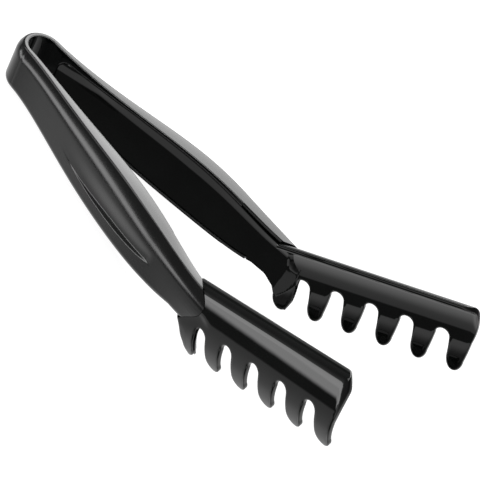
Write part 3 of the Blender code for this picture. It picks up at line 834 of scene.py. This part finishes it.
def comb_face(x, up, half):
    """Point in the comb's plate, this far from its middle, by its place along the arm and its height."""
    start, along_axis, up_axis, out_axis = head_axes()
    spots = []
    last = comb_length() - CURL_RADIUS * radians(CURL_ANGLE - ROOT_ANGLE)
    for s in np.linspace(0.0, last, COMB_FACE_SAMPLES):
        out, high, lean = comb_section(s)
        across = up_axis * (high - half * sin(lean)) + out_axis * (out + half * cos(lean))
        along = (x - start.x - across.x) / along_axis.x
        spots.append(start + across + along_axis * along)
    heights = [spot.z for spot in spots]
    spot = [float(np.interp(up, heights, [p[k] for p in spots])) for k in range(3)]
    return Vector((x, spot[1], min(up, max(heights))))


def root_rows():
    """Shares of the root's height from top to bottom: close together at its edges, even between."""
    even = [ROOT_FIRST + (1.0 - 2.0 * ROOT_FIRST) * k / (ROOT_ROWS - 1) for k in range(ROOT_ROWS)]
    return list(ROOT_EDGE_ROWS) + even + [1.0 - share for share in reversed(ROOT_EDGE_ROWS)]


def body_ring(x, thick_share):
    """Ring of the tang and root: flat to the arm, then turning into the comb's plate."""
    place, away = arm_place(x)
    top, low = root_limits(x)
    full = wall(x) if x > flare_start() else wall(x) - GRIP_WALL - FIT
    thick = TANG_BACK + (full - TANG_BACK) * thick_share
    inner = []
    outer = []
    edge = -deep(x) + rim(x)
    for share in root_rows():
        up = top + (low - top) * share
        base = place + Vector((0.0, 0.0, up))
        near = min(abs(up - top), abs(low - up))
        soft = TANG_FILLET - sqrt(max(TANG_FILLET ** 2 - max(TANG_FILLET - near, 0.0) ** 2, 0.0))
        inside_out = facet(x, up) + soft
        level = min(up - rim(x), 0.0)
        outside = min(thick, cover_out(x, level) if x > flare_start() else core_out(x, level))
        if up < edge + SHOULDER and x > flare_start():
            outside = min(outside, PLATE + (thick - PLATE) * smooth(x, ROOT_FLARE_START, ROOT_FLARE_END))
        flat_in = base + away * inside_out
        flat_out = base + away * max(outside, inside_out + 0.5 * PLATE)
        sooner = smooth(x, ARM_REACH - ROOT_HIDE, ARM_REACH + ROOT_HIDE)
        if sooner > 0.0:
            flat_out = flat_out.lerp(comb_face(x, up, 0.0), sooner)
        leaf = along_table(-up, LEAF_SLOPE) * max(0.0, x - along_table(-up, LEAF_START))
        if leaf > 0.0:
            under = (comb_face(x, up, ROOT_UNDER - 0.5 * PLATE) - base).dot(away)
            flat_in = base + away * min(inside_out + leaf, max(under, inside_out))
        inner.append(flat_in)
        outer.append(flat_out)
    return inner + outer[::-1]


def body_mesh():
    """The far jaw's tang and root."""
    root = ARM_REACH - ROOT_LENGTH
    ends = tang_stations(TANG_START, TANG_CORNER)
    rings = [body_ring(x, 0.0) for x in ends + stations(ends[-1], root, ARM_STEP)[1:]]
    places = stations(root + FIT, flare_start() - FIT, ARM_STEP)
    places += stations(flare_start() + FIT, ROOT_END, 0.5 * ARM_STEP)
    rings += [body_ring(x, 1.0) for x in places]
    return lofted(rings)


def lap_cutter():
    """The space that the end of the cover takes from the jaw: over its top and down its outer side."""
    far = CUTTER_REACH
    top = -GRIP_WALL - FIT
    rings = []
    for x in stations(ARM_REACH - ROOT_LENGTH - CUTTER_LEAD, ARM_REACH, ARM_STEP):
        side = core_out(x, top)
        bottom = -deep(x) - FIT
        rows = [top + (bottom - top) * k / FACE_ROWS for k in range(1, FACE_ROWS + 1)]
        steps = [-far] + [side * share for share, _ in LAP_ACROSS]
        near = [(out, top) for out in steps] + [(core_out(x, up), up) for up in rows]
        wide = [(out, far) for out in steps[:-1]] + [(far, far)] + [(far, up) for up in rows]
        ring = []
        for out, up in near + wide[::-1]:
            reach = lap(x, out, min(up, 0.0)) + FIT * smooth(x, ARM_REACH - GRIP_LAP_START, ARM_REACH)
            ring.append(on_arm(x + reach, out, rim(x) + up))
        rings.append(ring)
    return lofted(rings)


def combine(base, other, operation):
    """Joins the other object to the base, or cuts it out, and removes it."""
    modifier = base.modifiers.new(operation.lower(), "BOOLEAN")
    modifier.operation = operation
    modifier.solver = "EXACT"
    modifier.object = other
    bpy.context.view_layer.update()
    graph = bpy.context.evaluated_depsgraph_get()
    data = bpy.data.meshes.new_from_object(base.evaluated_get(graph))
    base.modifiers.clear()
    base.data = data
    bpy.data.objects.remove(other, do_unlink=True)


def jaw_mesh():
    """Tang, root and comb as one moulding, with room for the ends of the cover."""
    made = loose("jaw", body_mesh())
    combine(made, loose("comb", comb_mesh()), "UNION")
    combine(made, loose("lap", lap_cutter()), "DIFFERENCE")
    mesh = bmesh.new()
    mesh.from_mesh(made.data)
    bpy.data.objects.remove(made, do_unlink=True)
    clean(mesh)
    return mesh


# Materials


def link(tree, a, out, b, into):
    """Joins an output of one node to an input of another, by their names."""
    tree.links.new(a.outputs[out], b.inputs[into])


def add(tree, kind, **values):
    """A node with its properties and inputs set by name."""
    node = tree.nodes.new(kind)
    for key, value in values.items():
        if hasattr(node, key):
            setattr(node, key, value)
        else:
            node.inputs[key.replace("_", " ")].default_value = value
    return node


def ramp(tree, stops):
    """A colour ramp through places and colours."""
    node = tree.nodes.new("ShaderNodeValToRGB")
    while len(node.color_ramp.elements) < len(stops):
        node.color_ramp.elements.new(0.5)
    for element, (place, value) in zip(node.color_ramp.elements, stops):
        element.position = place
        element.color = (*value, 1.0)
    return node


def plastic(name, cloud, stops, roughness, relief, bump):
    """Black moulded plastic: one noise clouds its colour and its gloss, another one raises its surface."""
    made = bpy.data.materials.new(name)
    made.use_nodes = True
    tree = made.node_tree
    shader = tree.nodes["Principled BSDF"]
    shader.inputs["IOR"].default_value = PLASTIC_IOR
    coords = add(tree, "ShaderNodeTexCoord")
    clouds = add(tree, "ShaderNodeTexNoise", **cloud)
    raised = add(tree, "ShaderNodeTexNoise", **relief)
    for noise in (clouds, raised):
        link(tree, coords, "Object", noise, "Vector")
    colours = ramp(tree, stops)
    link(tree, clouds, "Fac", colours, "Fac")
    link(tree, colours, "Color", shader, "Base Color")
    rough = add(tree, "ShaderNodeMapRange", **roughness)
    link(tree, clouds, "Fac", rough, "Value")
    link(tree, rough, "Result", shader, "Roughness")
    bumps = add(tree, "ShaderNodeBump", **bump)
    link(tree, raised, "Fac", bumps, "Height")
    link(tree, bumps, "Normal", shader, "Normal")
    return made


def soft_material():
    """Soft-touch black: a fine even grain and a cloudy satin gloss."""
    return plastic(
        "soft_touch_black",
        cloud={"Scale": 45.0, "Detail": 5.0, "Roughness": 0.6},
        stops=[(0.3, (0.006, 0.0064, 0.0064)), (0.7, (0.009, 0.0094, 0.009))],
        roughness={"From_Min": 0.3, "From_Max": 0.7, "To_Min": 0.15, "To_Max": 0.19},
        relief={"Scale": 2600.0, "Detail": 2.0, "Roughness": 0.55},
        bump={"Strength": 0.12, "Distance": 0.00008},
    )


def gloss_material(name, tint, rough):
    """Glossy black moulding: a faint waviness and a cloudy gloss between two roughnesses."""
    low, high = rough
    return plastic(
        name,
        cloud={"Scale": 60.0, "Detail": 6.0, "Roughness": 0.65},
        stops=[(0.35, tuple(CLOUD_DARK * c for c in tint)), (0.65, tuple(CLOUD_LIGHT * c for c in tint))],
        roughness={"From_Min": 0.35, "From_Max": 0.7, "To_Min": low, "To_Max": high},
        relief={"Scale": 90.0, "Detail": 1.0, "Roughness": 0.4},
        bump={"Strength": 0.04, "Distance": 0.0002},
    )


def floor_material():
    """Pale floor: white to the camera apart from the object's shadow, plain grey to all else."""
    made = bpy.data.materials.new("pale_floor")
    made.use_nodes = True
    tree = made.node_tree
    tree.nodes.clear()
    out = tree.nodes.new("ShaderNodeOutputMaterial")
    path = tree.nodes.new("ShaderNodeLightPath")
    mix = tree.nodes.new("ShaderNodeMixShader")
    plain = add(tree, "ShaderNodeBsdfDiffuse", Color=FLOOR_GREY)
    seen = add(tree, "ShaderNodeBsdfDiffuse", Color=FLOOR_SEEN)
    glow = add(tree, "ShaderNodeEmission", Color=WHITE, Strength=FLOOR_GLOW)
    both = tree.nodes.new("ShaderNodeAddShader")
    tree.links.new(seen.outputs[0], both.inputs[0])
    tree.links.new(glow.outputs[0], both.inputs[1])
    tree.links.new(path.outputs["Is Camera Ray"], mix.inputs[0])
    tree.links.new(plain.outputs[0], mix.inputs[1])
    tree.links.new(both.outputs[0], mix.inputs[2])
    tree.links.new(mix.outputs[0], out.inputs[0])
    return made


# Floor, surroundings, lamp and camera


def make_floor():
    """A wide floor that carries the shadow and that no reflection sees."""
    mesh = bmesh.new()
    bmesh.ops.create_grid(mesh, x_segments=2, y_segments=2, size=FLOOR_SIZE)
    made = loose("floor", mesh)
    made.data.materials.append(floor_material())
    made.location.z = -FLOOR_DROP
    made.visible_glossy = False
    made.visible_diffuse = False
    made.visible_shadow = False


def direction(turn, rise):
    """Unit vector towards a turn about Z from +X and a rise above the level, in degrees."""
    turn = radians(turn)
    rise = radians(rise)
    return Vector((cos(turn) * cos(rise), sin(turn) * cos(rise), sin(rise)))


class Sky:
    """Small helper that writes sums and products of directions into the world's nodes."""

    def __init__(self, tree):
        self.tree = tree
        coords = tree.nodes.new("ShaderNodeTexCoord")
        self.ray = coords.outputs["Generated"]

    def towards(self, vector):
        node = self.tree.nodes.new("ShaderNodeVectorMath")
        node.operation = "DOT_PRODUCT"
        self.tree.links.new(self.ray, node.inputs[0])
        node.inputs[1].default_value = vector
        return node.outputs["Value"]

    def step(self, value, low, high, start=0.0, end=1.0):
        node = self.tree.nodes.new("ShaderNodeMapRange")
        node.interpolation_type = "SMOOTHSTEP"
        for key, number in (("From Min", low), ("From Max", high), ("To Min", start), ("To Max", end)):
            node.inputs[key].default_value = number
        self.tree.links.new(value, node.inputs["Value"])
        return node.outputs["Result"]

    def math(self, operation, one, two):
        node = self.tree.nodes.new("ShaderNodeMath")
        node.operation = operation
        for k, item in enumerate((one, two)):
            if isinstance(item, float):
                node.inputs[k].default_value = item
            else:
                self.tree.links.new(item, node.inputs[k])
        return node.outputs[0]

    def box(self, middle, up, wide, tall, soft, level):
        """A bright rectangle in the sky, with its half width and half height in degrees."""
        side = up.cross(middle).normalized()
        top = middle.cross(side).normalized()
        ahead = self.towards(middle)
        mask = self.step(ahead, 0.0, AHEAD_SOFT)
        for axis, half in ((side, wide), (top, tall)):
            share = self.math("DIVIDE", self.towards(axis), ahead)
            away = self.math("ABSOLUTE", share, 0.0)
            edge = tan(radians(half))
            mask = self.math("MULTIPLY", mask, self.step(away, edge - soft, edge + soft, 1.0, 0.0))
        return self.math("MULTIPLY", mask, level)


def make_world():
    """White to the camera. Reflections see a pale table, a dim room and softboxes beyond its edge."""
    world = bpy.data.worlds.new("studio")
    bpy.context.scene.world = world
    world.use_nodes = True
    tree = world.node_tree
    back = tree.nodes["Background"]
    sky = Sky(tree)
    upright = direction(*STUDIO_UP)
    level = sky.towards(upright)
    edge = sin(radians(TABLE_EDGE))
    fade_low = edge - TABLE_SOFT[0]
    table = sky.step(level, fade_low, edge + TABLE_SOFT[1], TABLE_LEVEL, 0.0)
    deeper = sky.step(level, sin(radians(TABLE_DEEP)), edge, TABLE_GAIN, 0.0)
    pool = sky.step(sky.towards(direction(*POOL_AT)), cos(radians(POOL_WIDE)), 1.0, 0.0, POOL_GAIN)
    room_full = sin(radians(ROOM_LOW + ROOM_SOFT))
    room = sky.step(level, sin(radians(ROOM_LOW)), room_full, 0.0, ROOM_LEVEL)
    fade = sky.step(level, sin(radians(ROOM_FULL)), sin(radians(ROOM_TOP)), 1.0, ROOM_LEFT)
    front = sky.step(sky.towards(direction(*FRONT_AT)), FRONT_EDGE, FRONT_FULL, ROOM_LEFT, 1.0)
    room = sky.math("MULTIPLY", sky.math("MULTIPLY", room, fade), front)
    total = sky.math("ADD", table, deeper)
    on_table = sky.math("MULTIPLY", pool, sky.step(level, fade_low, edge, 1.0, 0.0))
    total = sky.math("ADD", total, on_table)
    total = sky.math("ADD", total, room)
    for at, wide, tall, soft, strength in SOFTBOXES:
        total = sky.math("ADD", total, sky.box(direction(*at), upright, wide, tall, soft, strength))
    total = sky.math("ADD", total, DARK_LEVEL)
    path = tree.nodes.new("ShaderNodeLightPath")
    choice = tree.nodes.new("ShaderNodeMix")
    choice.data_type = "FLOAT"
    tree.links.new(path.outputs["Is Camera Ray"], choice.inputs[0])
    tree.links.new(total, choice.inputs[2])
    choice.inputs[3].default_value = 1.0
    tree.links.new(choice.outputs[0], back.inputs["Strength"])
    back.inputs["Color"].default_value = WHITE


def make_lamps():
    """The area lamps, each turned to what it faces."""
    for name, place, aim, wide, tall, power in LAMPS:
        data = bpy.data.lights.new(name, "AREA")
        data.shape = "RECTANGLE"
        data.size = wide
        data.size_y = tall
        data.energy = power
        made = linked(name, data)
        made.location = place
        made.rotation_euler = (Vector(aim) - Vector(place)).to_track_quat("-Z", "Y").to_euler()
        made.visible_camera = False


def make_camera(stance):
    """The camera that the photograph was taken with, worked out from its turn, fall, roll and place."""
    turn = radians(CAMERA_TURN)
    fall = radians(CAMERA_FALL)
    roll = radians(CAMERA_ROLL)
    right = Vector((cos(turn), sin(turn), 0.0))
    level = Vector((-sin(turn), cos(turn), 0.0))
    ahead = level * cos(fall) - Vector((0.0, 0.0, 1.0)) * sin(fall)
    up = level * sin(fall) + Vector((0.0, 0.0, 1.0)) * cos(fall)
    turned = right * cos(roll) + up * sin(roll)
    upright = up * cos(roll) - right * sin(roll)
    columns = Matrix((turned, upright, -ahead)).transposed()
    place = -(columns @ Vector(CAMERA_SET))
    data = bpy.data.cameras.new("camera")
    data.sensor_width = SENSOR
    data.lens = CAMERA_LENS * SENSOR / PHOTO_SIZE
    data.clip_start, data.clip_end = CLIP
    made = linked("camera", data)
    made.matrix_world = stance @ Matrix.Translation(place) @ columns.to_4x4()
    bpy.context.scene.camera = made


# The dressed tongs
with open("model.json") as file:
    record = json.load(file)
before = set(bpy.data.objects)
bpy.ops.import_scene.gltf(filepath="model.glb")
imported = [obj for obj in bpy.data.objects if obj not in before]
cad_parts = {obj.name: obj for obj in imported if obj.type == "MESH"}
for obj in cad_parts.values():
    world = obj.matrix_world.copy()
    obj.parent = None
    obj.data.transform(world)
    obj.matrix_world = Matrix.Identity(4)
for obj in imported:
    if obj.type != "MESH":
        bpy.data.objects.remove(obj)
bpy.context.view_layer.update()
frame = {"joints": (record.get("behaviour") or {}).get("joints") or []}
stance = find_stance()
soft = soft_material()
core_gloss = gloss_material("core_gloss_black", CORE_TINT, CORE_ROUGH)
jaw_gloss = gloss_material("jaw_gloss_black", JAW_TINT, JAW_ROUGH)
jaw_data = loose("jaw_master", jaw_mesh())
for word, side in (("near", -1.0), ("far", 1.0)):
    body = word + "_arm"
    cover = piece(word + "_cover", cover_mesh(), side, stance, soft)
    core = piece(word + "_core", core_mesh(), side, stance, core_gloss)
    mesh = bmesh.new()
    mesh.from_mesh(jaw_data.data)
    jaw = piece(word + "_comb_jaw", mesh, side, stance, jaw_gloss)
    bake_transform(cover)
    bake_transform(core)
    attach(jaw, body)
    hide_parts(word + "_grip", "bend_grip")
    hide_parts(word + "_arm_core", "bend_core")
    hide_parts(word + "_jaw")
bpy.data.objects.remove(jaw_data, do_unlink=True)
make_floor()
make_world()
make_lamps()
make_camera(stance)
bpy.context.scene.view_settings.view_transform = "Standard"
